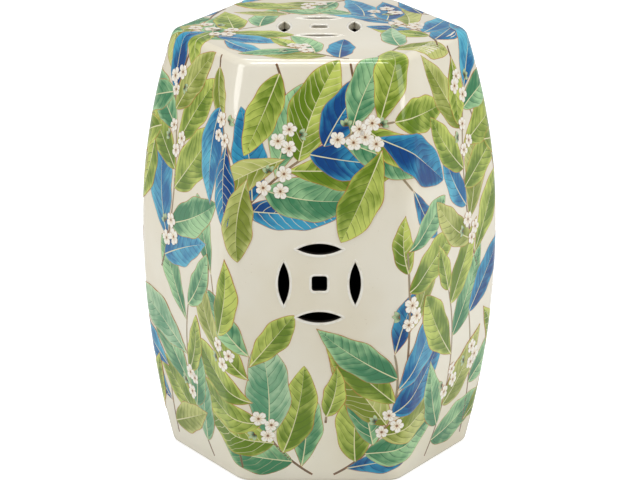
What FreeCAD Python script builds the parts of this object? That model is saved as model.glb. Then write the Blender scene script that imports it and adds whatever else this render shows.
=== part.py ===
import FreeCAD, Part
import math
import os
from enum import IntEnum

import Sketcher

# Hexagonal ceramic garden stool, slab built: six bowed wall slabs are mitred and luted at the
# arrises, a crowned seat slab closes the top, and a flange stiffens the open foot.
# Millimetres, Z up, the front face towards -Y, the origin on the floor below the middle.

# An apothem is the distance from the upright axis to the middle of a face. The bow radii are
# those of a face's upright curve, which stands plumb at the height of the belly. The overlap is
# how far the rounding of an arris stands proud where it runs out into a bowed face.
SIZES = {
    "overall_height": 457,
    "belly_apothem": 166,
    "belly_height": 242,
    "upper_bow_radius": 770,
    "lower_bow_radius": 1100,
    "crown_rise": 2,
    "crown_radius": 3700,
    "arris_radius": 28,
    "arris_overlap": 0.1,
    "shoulder_radius": 7,
    "foot_edge_radius": 4,
    "wall_thickness": 11,
    "seat_thickness": 14,
    "flange_thickness": 12,
    "foot_opening_radius": 90,
    "corner_coil_depth": 9,
    "seat_coil_radius": 8,
    "foot_coil_radius": 8,
    "front_motif_height": 226,
    "petal_length": 48,
    "petal_width": 13,
    "petal_offset": 36.8,
    "square_side": 17,
    "square_corner_radius": 3.5,
}

SIDES = 6
SIDE_ANGLE = 360 / SIDES
FRONT_ANGLE = -90
PETALS = 4

# Walls and corners are named counter-clockwise, seen from above, from the front and the right.
WALL_NAMES = (
    "wall_front",
    "wall_front_right",
    "wall_back_right",
    "wall_back",
    "wall_back_left",
    "wall_front_left",
)
COIL_NAMES = (
    "corner_coil_right",
    "corner_coil_back_right",
    "corner_coil_back_left",
    "corner_coil_left",
    "corner_coil_front_left",
    "corner_coil_front_right",
)
PIERCED_WALLS = ("wall_front", "wall_back")

# Levels and reaches that several pieces share, written with the names of the sheet.
ON_THE_SKIN = "0"
ON_THE_FLOOR = "0"
FOOT_OF_CROWN = "(sizes.overall_height - sizes.crown_rise)"
SEAT_UNDERSIDE = "(sizes.overall_height - sizes.seat_thickness)"
PAST_THE_CORNERS = "(2 * sizes.belly_apothem)"
INNER_UPPER_BOW = "(sizes.upper_bow_radius - sizes.wall_thickness)"
INNER_LOWER_BOW = "(sizes.lower_bow_radius - sizes.wall_thickness)"
INNER_AT_SEAT = (
    "(sizes.belly_apothem - sizes.upper_bow_radius"
    f" + sqrt({INNER_UPPER_BOW}^2 - ({SEAT_UNDERSIDE} - sizes.belly_height)^2))"
)
INNER_AT_FLANGE = (
    "(sizes.belly_apothem - sizes.lower_bow_radius"
    f" + sqrt({INNER_LOWER_BOW}^2 - (sizes.belly_height - sizes.flange_thickness)^2))"
)
INNER_CORNER_AT_BELLY = "((sizes.belly_apothem - sizes.wall_thickness) * 2 / sqrt(3))"
PETAL_SIDE_RADIUS = "((sizes.petal_length^2 + sizes.petal_width^2) / (4 * sizes.petal_width))"

ORIGIN = FreeCAD.Vector(0, 0, 0)
X_AXIS = FreeCAD.Vector(1, 0, 0)
Y_AXIS = FreeCAD.Vector(0, 1, 0)
Z_AXIS = FreeCAD.Vector(0, 0, 1)
# A third of a turn about the diagonal stands a sketch up in the YZ plane.
DIAGONAL = FreeCAD.Vector(1, 1, 1)
THIRD_OF_A_TURN = 120
QUARTER_TURN = 90


class Place(IntEnum):
    """How a sketch numbers the places of a curve."""

    START = 1
    END = 2
    CENTRE = 3


class Axis(IntEnum):
    """How a sketch numbers its own axes."""

    X = -1


SKETCH_ORIGIN = (Axis.X, Place.START)

doc = FreeCAD.newDocument("garden_stool")


def fill_sheet():
    """Put every driving size into the spreadsheet under its own name."""
    sheet = doc.addObject("Spreadsheet::Sheet", "sizes")
    for row, (alias, size) in enumerate(SIZES.items(), start=1):
        sheet.set(f"A{row}", alias)
        sheet.set(f"B{row}", str(size))
        sheet.setAlias(f"B{row}", alias)
    doc.recompute()


def number(expression):
    """What an expression of the sheet comes to now."""
    return float(doc.sizes.evalExpression(expression))


def add(kind, name, **expressions):
    """Add an object and bind its sizes to the sheet."""
    made = doc.addObject(kind, name)
    for size, expression in expressions.items():
        made.setExpression(size, expression)
    return made


def move(made, x="0", y="0", z="0"):
    """Bind an object's place to the sheet."""
    for axis, expression in (("x", x), ("y", y), ("z", z)):
        made.setExpression(f"Placement.Base.{axis}", expression)
    return made


def turned(axis, angle):
    """A turn about the origin as a Placement."""
    return FreeCAD.Placement(ORIGIN, FreeCAD.Rotation(axis, angle))


def combine(kind, name, shapes):
    """A boolean of several shapes."""
    made = doc.addObject(kind, name)
    made.Shapes = shapes
    return made


def cut(name, base, tool):
    """The base with the tool taken away."""
    made = doc.addObject("Part::Cut", name)
    made.Base = base
    made.Tool = tool
    return made


def copy_of(name, source, axis=Z_AXIS, angle=0):
    """A copy of a piece, tied to its source and turned about an axis through the origin."""
    copy = doc.addObject("Part::Compound", name)
    copy.Links = [source]
    copy.Placement = turned(axis, angle)
    return copy


def rounded(name, source, rounds):
    """A body that starts from a solid and gets one fillet for each (size, finder) pair."""
    body = doc.addObject("PartDesign::Body", name)
    body.BaseFeature = source
    doc.recompute()
    for size, find in rounds:
        before = body.Tip
        fillet = body.newObject("PartDesign::Fillet", f"{name}_{size}")
        fillet.Base = (before, find(before.Shape))
        fillet.setExpression("Radius", f"sizes.{size}")
        body.Tip = fillet
        doc.recompute()
    return body


def upright_edges(shape):
    """The edges that run most of the way up a solid."""
    long_enough = shape.BoundBox.ZLength / 4
    return [
        f"Edge{index}"
        for index, edge in enumerate(shape.Edges, start=1)
        if edge.BoundBox.ZLength > long_enough
    ]


def face_by_height(shape, place):
    """The face at a place in the order of height."""
    order = sorted(
        range(len(shape.Faces)), key=lambda face: shape.Faces[face].CenterOfMass.z
    )
    return [f"Face{order[place] + 1}"]


def highest_face(shape):
    """The flat face on top."""
    return face_by_height(shape, -1)


def lowest_face(shape):
    """The flat face on the floor."""
    return face_by_height(shape, 0)


def side_view(name, angle, inset, top):
    """Sketch of the barrel seen along two of its bowed faces, inset behind the outer skin."""
    sketch = doc.addObject("Sketcher::SketchObject", name)
    sketch.Placement = turned(Z_AXIS, angle).multiply(turned(DIAGONAL, THIRD_OF_A_TURN))
    belly = number("sizes.belly_height")
    upper_radius = f"(sizes.upper_bow_radius - {inset})"
    lower_radius = f"(sizes.lower_bow_radius - {inset})"
    upper_shift = "(sizes.upper_bow_radius - sizes.belly_apothem)"
    lower_shift = "(sizes.lower_bow_radius - sizes.belly_apothem)"
    rise = math.asin((number(top) - belly) / number(upper_radius))
    drop = math.asin(belly / number(lower_radius))

    def bow(shift, radius, first, last):
        circle = Part.Circle(FreeCAD.Vector(shift, belly, 0), Z_AXIS, number(radius))
        return sketch.addGeometry(Part.ArcOfCircle(circle, first, last))

    def join(*places):
        sketch.addConstraint(Sketcher.Constraint("Coincident", *places))

    def measure(kind, expression, *places):
        index = sketch.addConstraint(
            Sketcher.Constraint(kind, *places, number(expression))
        )
        sketch.setExpression(f"Constraints[{index}]", expression)

    def level_line(*places):
        ends = [sketch.getPoint(*places[:2]), sketch.getPoint(*places[2:])]
        line = sketch.addGeometry(Part.LineSegment(*ends))
        join(*places[:2], line, Place.START)
        join(line, Place.END, *places[2:])
        sketch.addConstraint(Sketcher.Constraint("Horizontal", line))
        return line

    right_low = bow(-number(lower_shift), lower_radius, -drop, 0)
    right_high = bow(-number(upper_shift), upper_radius, 0, rise)
    left_high = bow(number(upper_shift), upper_radius, math.pi - rise, math.pi)
    left_low = bow(number(lower_shift), lower_radius, math.pi, math.pi + drop)
    top_line = level_line(right_high, Place.END, left_high, Place.START)
    foot_line = level_line(left_low, Place.END, right_low, Place.START)
    join(right_low, Place.END, right_high, Place.START)
    join(left_high, Place.END, left_low, Place.START)
    sketch.addConstraint(
        Sketcher.Constraint("PointOnObject", foot_line, Place.START, Axis.X)
    )
    measure("DistanceY", top, *SKETCH_ORIGIN, top_line, Place.START)
    for curve in (right_low, right_high, left_high, left_low):
        measure("DistanceY", "sizes.belly_height", *SKETCH_ORIGIN, curve, Place.CENTRE)
    for curve, end in ((right_high, Place.START), (left_high, Place.END)):
        measure("DistanceY", "sizes.belly_height", *SKETCH_ORIGIN, curve, end)
        measure("Radius", upper_radius, curve)
    for right, left, shift in (
        (right_high, left_high, upper_shift),
        (right_low, left_low, lower_shift),
    ):
        measure("DistanceX", shift, right, Place.CENTRE, *SKETCH_ORIGIN)
        measure("DistanceX", shift, *SKETCH_ORIGIN, left, Place.CENTRE)
    return sketch


def bowed_prisms(name, inset, top):
    """Three prisms, each between two opposite bowed faces, that cross in the barrel."""
    prisms = []
    for pair in range(SIDES // 2):
        prism = add(
            "Part::Extrusion", f"{name}_pair_{pair}", LengthFwd=f"2 * {PAST_THE_CORNERS}"
        )
        prism.Base = side_view(f"{name}_view_{pair}", pair * SIDE_ANGLE, inset, top)
        prism.DirMode = "Normal"
        prism.Symmetric = True
        prism.Solid = True
        prisms.append(prism)
    return prisms


def lying(kind, name, x, **expressions):
    """A round solid whose axis lies along Y at the height of the belly."""
    made = add(kind, name, **expressions)
    # Its seam looks away from the corner on the right, which it shapes.
    away = turned(Z_AXIS, 2 * QUARTER_TURN)
    made.Placement = turned(X_AXIS, QUARTER_TURN).multiply(away)
    return move(made, x=x, z="sizes.belly_height")


def arris_waste():
    """Tool for the arris on the right: what lies outside a bowed tube that rounds it."""
    halves = []
    for part, radius, rise, base in (
        (
            "upper",
            "sizes.upper_bow_radius",
            f"({FOOT_OF_CROWN} - sizes.belly_height)",
            "sizes.belly_height",
        ),
        (
            "lower",
            "sizes.lower_bow_radius",
            "sizes.belly_height",
            "-sizes.belly_height",
        ),
    ):
        # Where a face runs into the rounding it bows by this much more than in its middle.
        bow = f"(({radius} - sqrt({radius}^2 - {rise}^2)) * 2 / sqrt(3))"
        run_out = f"(({rise}^2 + {bow}^2) / (2 * {bow}))"
        path = f"({run_out} - sizes.arris_radius * sqrt(3) / 2)"
        edge = "(sizes.belly_apothem - sizes.arris_radius / 4) * 2 / sqrt(3)"
        axis = f"{edge} + sizes.arris_overlap - {run_out}"
        tube = lying(
            "Part::Torus",
            f"arris_tube_{part}",
            axis,
            Radius1=path,
            Radius2="sizes.arris_radius",
        )
        core = lying(
            "Part::Cylinder",
            f"arris_core_{part}",
            axis,
            Radius=path,
            Height="1.5 * sizes.arris_radius",
        )
        core.setExpression("Placement.Base.y", "0.75 * sizes.arris_radius")
        bar = add(
            "Part::Box",
            f"arris_bar_{part}",
            Length=f"{run_out} + {PAST_THE_CORNERS}",
            Width="sizes.arris_radius",
            Height="2 * sizes.belly_height",
        )
        move(bar, x=axis, y="-sizes.arris_radius / 2", z=base)
        inside = combine("Part::MultiFuse", f"arris_inside_{part}", [tube, core])
        halves.append(cut(f"arris_waste_{part}", bar, inside))
    return combine("Part::MultiFuse", "arris_waste", halves)


def outer_form():
    """The outer form up to the foot of the crown, with every outer edge softened."""
    prisms = bowed_prisms("outer", ON_THE_SKIN, FOOT_OF_CROWN)
    block = combine("Part::MultiCommon", "outer_block", prisms)
    waste = arris_waste()
    for corner in range(SIDES):
        tool = copy_of(f"arris_waste_{corner}", waste, angle=corner * SIDE_ANGLE)
        block = cut(f"softened_{corner}", block, tool)
    rounds = (("shoulder_radius", highest_face), ("foot_edge_radius", lowest_face))
    return rounded("outer_form", block, rounds)


def inner_space():
    """The hollow between the walls, from the floor to the underside of the seat."""
    prisms = bowed_prisms("inner", "sizes.wall_thickness", SEAT_UNDERSIDE)
    return combine("Part::MultiCommon", "inner_space", prisms)


def coin_motif():
    """Tool for the pierced coin motif, four pointed petals round a square, rising from Z 0."""
    bars = []
    for side in (1, -1):
        bar = add(
            "Part::Cylinder",
            f"petal_bar_{len(bars)}",
            Radius=PETAL_SIDE_RADIUS,
            Height=PAST_THE_CORNERS,
        )
        shift = f"{side} * ({PETAL_SIDE_RADIUS} - sizes.petal_width / 2)"
        bars.append(move(bar, y=f"sizes.petal_offset + {shift}"))
    petal = combine("Part::MultiCommon", "petal", bars)
    petals = [
        copy_of(f"petal_{index}", petal, angle=index * 360 / PETALS)
        for index in range(PETALS)
    ]
    block = add(
        "Part::Box",
        "square_block",
        Length="sizes.square_side",
        Width="sizes.square_side",
        Height=PAST_THE_CORNERS,
    )
    soft_block = rounded("square", block, (("square_corner_radius", upright_edges),))
    square = move(
        copy_of("middle_square", soft_block),
        x="-sizes.square_side / 2",
        y="-sizes.square_side / 2",
    )
    return combine("Part::MultiFuse", "coin_motif", petals + [square])


def walls(form, hollow, motif):
    """Six wall slabs with mitred sides; the front and back ones carry the coin motif."""
    mitres = add(
        "Part::Cylinder",
        "mitres",
        Radius=f"2 * {PAST_THE_CORNERS}",
        Height=SEAT_UNDERSIDE,
    )
    mitres.Angle = SIDE_ANGLE
    mitres.Placement = turned(Z_AXIS, FRONT_ANGLE - SIDE_ANGLE / 2)
    blank = combine("Part::MultiCommon", "wall_blank", [form, mitres])
    slab = cut("wall_slab", blank, hollow)
    tool = copy_of("wall_motif", motif, X_AXIS, QUARTER_TURN)
    pierced = cut("pierced_slab", slab, move(tool, z="sizes.front_motif_height"))
    return [
        copy_of(name, pierced if name in PIERCED_WALLS else slab, angle=side * SIDE_ANGLE)
        for side, name in enumerate(WALL_NAMES)
    ]


def level_layer(name, low, height):
    """A round layer, wider than the stool, from one level up."""
    layer = add(
        "Part::Cylinder", name, Radius=f"2 * {PAST_THE_CORNERS}", Height=height
    )
    return move(layer, z=low)


def seat_slab(form, motif):
    """The crowned seat slab with the coin motif, which carries the rounded shoulder."""
    layer = level_layer("seat_layer", SEAT_UNDERSIDE, "2 * sizes.seat_thickness")
    plate = combine("Part::MultiCommon", "seat_plate", [form, layer])
    sphere = add("Part::Sphere", "crown_sphere", Radius="sizes.crown_radius")
    # Laid on its side, so that its pole and its seam stay away from the seat.
    sphere.Placement = turned(Y_AXIS, QUARTER_TURN)
    move(sphere, z="sizes.overall_height - sizes.crown_radius")
    above = level_layer("crown_layer", FOOT_OF_CROWN, "2 * sizes.crown_rise")
    crown = combine("Part::MultiCommon", "crown", [sphere, above])
    crowned = combine("Part::MultiFuse", "crowned_plate", [plate, crown])
    tool = move(copy_of("seat_motif", motif), z="sizes.overall_height / 2")
    return cut("seat_slab", crowned, tool)


def foot_flange(hollow):
    """The flat flange inside the foot, open in the middle."""
    layer = level_layer("flange_layer", ON_THE_FLOOR, "sizes.flange_thickness")
    disc = combine("Part::MultiCommon", "flange_disc", [hollow, layer])
    hole = add(
        "Part::Cylinder",
        "foot_opening",
        Radius="sizes.foot_opening_radius",
        Height="3 * sizes.flange_thickness",
    )
    return cut("foot_flange", disc, move(hole, z="-sizes.flange_thickness"))


def ring_coil(name, hollow, radius, level, reach):
    """A six-sided coil of clay pressed into the angle between the walls and a level slab."""
    rod = add(
        "Part::Cylinder", f"{name}_rod", Radius=radius, Height=f"2 * {PAST_THE_CORNERS}"
    )
    rod.Placement = turned(Y_AXIS, QUARTER_TURN)
    move(rod, x=f"-{PAST_THE_CORNERS}", y=f"-{reach}", z=level)
    rods = [
        copy_of(f"{name}_rod_{side}", rod, angle=side * SIDE_ANGLE)
        for side in range(SIDES)
    ]
    ring = combine("Part::MultiFuse", f"{name}_ring", rods)
    return combine("Part::MultiCommon", f"{name}_pressed", [hollow, ring])


def seat_coil(hollow):
    """The coil that backs the joint between the seat and the walls."""
    coil = ring_coil(
        "seat_coil", hollow, "sizes.seat_coil_radius", SEAT_UNDERSIDE, INNER_AT_SEAT
    )
    return copy_of("seat_coil", coil)


def foot_coil(hollow, flange):
    """The coil that backs the joint between the flange and the walls."""
    coil = ring_coil(
        "foot_coil",
        hollow,
        "sizes.foot_coil_radius",
        "sizes.flange_thickness",
        INNER_AT_FLANGE,
    )
    return cut("foot_coil", coil, flange)


def corner_coils(hollow):
    """Coils wiped flat into the mitred corners, from the foot coil up to the seat coil."""
    halves = []
    for part, radius, base in (
        ("upper", INNER_UPPER_BOW, "sizes.belly_height"),
        ("lower", INNER_LOWER_BOW, "-sizes.belly_height"),
    ):
        corner_bow = f"({radius} * sqrt(3) / 2)"
        axis = f"{INNER_CORNER_AT_BELLY} - {corner_bow}"
        disc = lying(
            "Part::Cylinder",
            f"wiped_disc_{part}",
            axis,
            Radius=f"{corner_bow} - sizes.corner_coil_depth",
            Height=PAST_THE_CORNERS,
        )
        disc.setExpression("Placement.Base.y", "sizes.belly_apothem")
        half = add(
            "Part::Box",
            f"wiped_half_{part}",
            Length=f"{corner_bow} + {PAST_THE_CORNERS}",
            Width=f"2 * {PAST_THE_CORNERS}",
            Height="2 * sizes.belly_height",
        )
        move(half, x=axis, y=f"-{PAST_THE_CORNERS}", z=base)
        halves.append(combine("Part::MultiCommon", f"wiped_{part}", [disc, half]))
    wiped_away = combine("Part::MultiFuse", "wiped_away", halves)
    low_end = "(sizes.flange_thickness + sizes.foot_coil_radius)"
    high_end = f"({SEAT_UNDERSIDE} - sizes.seat_coil_radius)"
    between = level_layer("between_the_rings", low_end, f"{high_end} - {low_end}")
    between.Placement = turned(Z_AXIS, -SIDE_ANGLE / 2)
    between.Angle = SIDE_ANGLE
    move(between, z=low_end)
    pressed = combine("Part::MultiCommon", "corner_pressed", [hollow, between])
    smooth = cut("corner_smooth", pressed, wiped_away)
    return [
        copy_of(name, smooth, angle=corner * SIDE_ANGLE)
        for corner, name in enumerate(COIL_NAMES)
    ]


def check_and_write(pieces):
    """Refuse a failed document, then write each piece to its own file."""
    doc.recompute()
    for made in doc.Objects:
        if "Invalid" in made.State or "Error" in made.State:
            raise RuntimeError(f"{made.Name} did not compute: {made.State}")
    for piece in pieces:
        if piece.Shape.isNull() or not piece.Shape.isValid() or not piece.Shape.Solids:
            raise RuntimeError(f"{piece.Label} has no valid solid")
    os.makedirs("parts", exist_ok=True)
    for piece in pieces:
        piece.Shape.exportStep(f"parts/{piece.Label}.step")
        volume = piece.Shape.Volume / 1000
        print(f"{piece.Label}: {len(piece.Shape.Solids)} solid, {volume:.1f} cm3")


def main():
    """Build every piece of the stool and write it."""
    fill_sheet()
    form = outer_form()
    hollow = inner_space()
    motif = coin_motif()
    flange = foot_flange(hollow)
    rings = [seat_coil(hollow), foot_coil(hollow, flange)]
    pieces = walls(form, hollow, motif) + [seat_slab(form, motif), flange] + rings
    check_and_write(pieces + corner_coils(hollow))


main()
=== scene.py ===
"""Dresses the six-sided ceramic garden stool: glazed slabs, pierced rims and painted foliage."""

import logging
import math
from dataclasses import dataclass, field, replace
from enum import Enum
from typing import Callable, Sequence

import bmesh
import bpy
import numpy as np
from mathutils import Matrix, Vector


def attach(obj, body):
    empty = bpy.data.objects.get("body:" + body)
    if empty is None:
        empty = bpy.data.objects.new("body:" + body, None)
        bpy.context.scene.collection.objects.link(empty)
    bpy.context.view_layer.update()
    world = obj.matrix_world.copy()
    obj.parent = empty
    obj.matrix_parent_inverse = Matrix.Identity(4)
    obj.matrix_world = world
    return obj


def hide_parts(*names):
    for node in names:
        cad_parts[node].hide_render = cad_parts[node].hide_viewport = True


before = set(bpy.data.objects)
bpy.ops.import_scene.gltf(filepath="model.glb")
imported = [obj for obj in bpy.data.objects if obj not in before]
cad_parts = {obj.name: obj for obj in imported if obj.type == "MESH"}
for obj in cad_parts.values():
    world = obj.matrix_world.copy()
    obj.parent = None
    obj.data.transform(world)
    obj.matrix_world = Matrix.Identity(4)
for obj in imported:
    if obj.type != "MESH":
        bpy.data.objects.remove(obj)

log = logging.getLogger("garden_stool")

BODY = "root"
SIDES = 6
SIDE_TURN = 2 * math.pi / SIDES
MM = 0.001
SMALL_STEP = 1e-5
LOWEST = 2e-6
LONGEST_RAY = 0.3
SETTLE_ROUNDS = 2
FACING_SHARE = 0.6
SHARP_ANGLE = math.radians(35)
Array = np.ndarray
Colour = tuple[float, float, float]
Place = Callable[[Array, Array], Array]
Range = tuple[float, float]


def linear(red: int, green: int, blue: int) -> Colour:
    """Turn a colour as seen on a screen, 0 to 255, into Blender's linear values.

    Args:
        red: The red share.
        green: The green share.
        blue: The blue share.

    Returns:
        The three linear values.
    """
    shares = (share / 255 for share in (red, green, blue))
    return tuple(s / 12.92 if s <= 0.04045 else ((s + 0.055) / 1.055) ** 2.4 for s in shares)


def unit(vectors: Array) -> Array:
    """Vectors brought to a length of one."""
    return vectors / np.linalg.norm(vectors, axis=-1, keepdims=True)


def hexagon(x: Array, y: Array, apothem: Array | float) -> Array:
    """Signed distance from a hexagon whose flats face the front and the back.

    Args:
        x: Places across.
        y: Places from front to back.
        apothem: From the middle to each flat.

    Returns:
        The distances, negative inside.
    """
    lean_x, lean_y, share = -math.sqrt(3) / 2, 0.5, 1 / math.sqrt(3)
    x, y = np.abs(x), np.abs(y)
    fold = 2 * np.minimum(lean_x * x + lean_y * y, 0)
    x, y = x - fold * lean_x, y - fold * lean_y
    x = x - np.clip(x, -share * apothem, share * apothem)
    y = y - apothem
    return np.hypot(x, y) * np.sign(y)


def rounded_meeting(first: Array, second: Array, radius: float) -> Array:
    """Where two depths meet, with the edge between them rounded.

    Args:
        first: Depth below the first surface.
        second: Depth below the second surface.
        radius: The rounding.

    Returns:
        The depth below the rounded solid's skin.
    """
    first, second = first + radius, second + radius
    outside = np.hypot(np.maximum(first, 0), np.maximum(second, 0))
    return np.minimum(np.maximum(first, second), 0) + outside - radius


def last_inside(inside: Callable[[Array], Array], limit: Array, rounds: int) -> Array:
    """Halve stretches again and again to find where a test stops holding.

    Args:
        inside: Whether the test holds at each distance.
        limit: How far each stretch goes, from zero.
        rounds: How often the stretches are halved.

    Returns:
        The distances at which the test stops holding.
    """
    low, high = np.zeros_like(limit), limit
    for _ in range(rounds):
        middle = (low + high) / 2
        held = inside(middle)
        low, high = np.where(held, middle, low), np.where(held, high, middle)
    return (low + high) / 2


@dataclass(frozen=True)
class BarrelForm:
    """The glazed outer skin of the stool, in metres, as a depth that is zero on the glaze."""

    height: float = 0.457
    crown_rise: float = 0.002
    crown_radius: float = 3.7
    crown_fade: float = 0.0003
    belly_apothem: float = 0.166
    belly_height: float = 0.242
    upper_bow: float = 0.770
    lower_bow: float = 1.100
    arris: float = 0.028
    shoulder: float = 0.007
    foot_edge: float = 0.004
    wall: float = 0.011
    seat: float = 0.014

    @property
    def joint_height(self) -> float:
        """Height of the joint between the walls and the seat."""
        return self.height - self.seat

    def bow(self, z: Array) -> Array:
        """Radius of a face's upright curve at these heights."""
        return np.where(z > self.belly_height, self.upper_bow, self.lower_bow)

    def apothem(self, z: Array, inset: float = 0.0) -> Array:
        """From the upright axis to the middle of a face.

        Args:
            z: Heights.
            inset: How far behind the outer skin.

        Returns:
            The apothem at each height.
        """
        bow = self.bow(z)
        reach = np.sqrt((bow - inset) ** 2 - (z - self.belly_height) ** 2)
        return self.belly_apothem - bow + reach

    def top(self, x: Array, y: Array) -> Array:
        """Height of the crowned seat, which fades into a flat margin.

        Args:
            x: Places across.
            y: Places from front to back.

        Returns:
            The height at each place.
        """
        rise = self.crown_rise - (x**2 + y**2) / (2 * self.crown_radius)
        faded = (rise + np.sqrt(rise**2 + self.crown_fade**2)) / 2
        return self.height - self.crown_rise + faded

    def depth(self, points: Array) -> Array:
        """Signed distance from the skin, near enough to walk along it.

        Args:
            points: Rows of x, y, z.

        Returns:
            One distance for each row, negative inside.
        """
        x, y, z = points[..., 0], points[..., 1], points[..., 2]
        bow = self.bow(z)
        steep = bow / np.sqrt(bow**2 - (z - self.belly_height) ** 2)
        side = (hexagon(x, y, self.apothem(z) - self.arris) - self.arris) / steep
        body = rounded_meeting(side, z - self.top(x, y), self.shoulder)
        return rounded_meeting(body, -z, self.foot_edge)

    def normal(self, points: Array) -> Array:
        """Unit vectors straight out of the skin."""
        return self.feel(points)[1]

    def feel(self, points: Array) -> tuple[Array, Array]:
        """Depths of points and the unit vectors straight out of the skin there.

        Args:
            points: Rows of x, y, z.

        Returns:
            The depths, negative inside, and the unit vectors.
        """
        steps = np.concatenate([np.eye(3), -np.eye(3), np.zeros((1, 3))]) * SMALL_STEP
        around = self.depth(points + steps.reshape(7, *(1,) * (points.ndim - 1), 3))
        slopes = np.stack([around[axis] - around[axis + 3] for axis in range(3)], axis=-1)
        return around[6], unit(slopes)

    def settle(self, points: Array) -> Array:
        """Move points straight to the skin.

        Args:
            points: Rows of x, y, z near the skin.

        Returns:
            The points on the skin.
        """
        for _ in range(SETTLE_ROUNDS):
            depths, normals = self.feel(points)
            points = points - depths[..., None] * normals
        return points

    def shoot(self, origin: Array, direction: Array) -> Array:
        """Follow rays from inside the body out to the skin.

        Args:
            origin: Where each ray starts.
            direction: Unit vectors.

        Returns:
            Where the rays leave the body.
        """
        origin = np.maximum(origin, [-1.0, -1.0, LOWEST])
        reach = last_inside(
            lambda far: self.depth(origin + direction * far[:, None]) < 0,
            np.full(len(origin), LONGEST_RAY),
            rounds=44,
        )
        return origin + direction * reach[:, None]


FORM = BarrelForm()


@dataclass(frozen=True)
class CoinMotif:
    """The pierced coin motif: four pointed petals round a square, in metres."""

    petal_length: float = 0.048
    petal_width: float = 0.013
    petal_offset: float = 0.0368
    square_side: float = 0.017
    square_corner: float = 0.0035
    front_height: float = 0.226
    petal_steps: int = 28
    corner_steps: int = 5

    @property
    def petal_radius(self) -> float:
        """Radius of both long sides of a petal."""
        return (self.petal_length**2 + self.petal_width**2) / (4 * self.petal_width)

    def petal(self, turn: int, margin: float = 0.0) -> list[Vector]:
        """Outline of one petal, in the plane of the slab.

        Args:
            turn: Which petal, in quarter turns.
            margin: How far outside the pierced edge.

        Returns:
            The points in order, counter-clockwise.
        """
        radius = self.petal_radius + margin
        shift = self.petal_radius - self.petal_width / 2
        spread = math.acos(shift / radius)
        points = []
        for side in (1, -1):
            for step in range(self.petal_steps):
                angle = spread - 2 * spread * step / self.petal_steps
                x = -side * radius * math.sin(-angle)
                y = side * (radius * math.cos(angle) - shift)
                points.append(Vector((x, y + self.petal_offset, 0)))
        turned = Matrix.Rotation(turn * math.pi / 2, 3, "Z")
        return [turned @ point for point in points]

    def square(self, margin: float = 0.0) -> list[Vector]:
        """Outline of the square in the middle, with soft corners.

        Args:
            margin: How far outside the pierced edge.

        Returns:
            The points in order, counter-clockwise.
        """
        radius = self.square_corner + margin
        centre = self.square_side / 2 - self.square_corner
        points = []
        for corner in range(4):
            middle = Matrix.Rotation(corner * math.pi / 2, 3, "Z") @ Vector((centre, centre, 0))
            for step in range(self.corner_steps + 1):
                angle = corner * math.pi / 2 + step / self.corner_steps * math.pi / 2
                reach = Vector((math.cos(angle), math.sin(angle), 0))
                points.append(middle + radius * reach)
        return points

    def outlines(self, margin: float = 0.0) -> list[list[Vector]]:
        """The outlines of all five piercings."""
        return [self.petal(turn, margin) for turn in range(4)] + [self.square(margin)]

    def clearance(self, u: Array, v: Array) -> Array:
        """Distance outside the nearest piercing, in the plane of the slab.

        Args:
            u: Places across the slab.
            v: Places up the slab.

        Returns:
            The distances, negative within a piercing.
        """
        nearest = np.maximum(np.abs(u), np.abs(v)) - self.square_side / 2
        shift = self.petal_radius - self.petal_width / 2
        for x, y in ((u, v), (v, u)):
            along = np.abs(y) - self.petal_offset
            lens = np.hypot(x, np.abs(along) + shift) - self.petal_radius
            nearest = np.minimum(nearest, lens)
        return nearest


MOTIF = CoinMotif()


class Panel(Enum):
    """The three slabs that carry the coin motif, with the turn that brings each into place."""

    FRONT = Matrix.Translation((0, 0, MOTIF.front_height)) @ Matrix.Rotation(math.pi / 2, 4, "X")
    BACK = Matrix.Rotation(math.pi, 4, "Z") @ FRONT
    SEAT = Matrix.Translation((0, 0, FORM.joint_height))


def linked(name: str, data: bpy.types.ID) -> bpy.types.Object:
    """Put data into the scene as a new object.

    Args:
        name: The object's name.
        data: Its mesh, curve, lamp or camera.

    Returns:
        The new object.
    """
    thing = bpy.data.objects.new(name, data)
    bpy.context.scene.collection.objects.link(thing)
    return thing


def new_piece(
    name: str, mesh: bpy.types.Mesh, finishes: Sequence[bpy.types.Material]
) -> bpy.types.Object:
    """Put a mesh into the scene as a piece that rides on the stool's body.

    Args:
        name: The piece's name.
        mesh: Its mesh, already in place.
        finishes: Its materials, in the order of its slots.

    Returns:
        The new object.
    """
    mesh.name = name
    piece = linked(name, mesh)
    mesh.materials.clear()
    for finish in finishes:
        mesh.materials.append(finish)
    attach(piece, BODY)
    log.info("%s: %d faces", name, len(mesh.polygons))
    return piece


def mesh_of(shape: bmesh.types.BMesh, name: str) -> bpy.types.Mesh:
    """Turn a finished bmesh into a mesh and free it.

    Args:
        shape: The bmesh, which is used up.
        name: The mesh's name.

    Returns:
        The mesh.
    """
    mesh = bpy.data.meshes.new(name)
    shape.to_mesh(mesh)
    shape.free()
    return mesh


def evaluated(piece: bpy.types.Object) -> bpy.types.Mesh:
    """A new mesh of an object with its modifiers or its bevel applied."""
    graph = bpy.context.evaluated_depsgraph_get()
    return bpy.data.meshes.new_from_object(piece.evaluated_get(graph))


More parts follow.
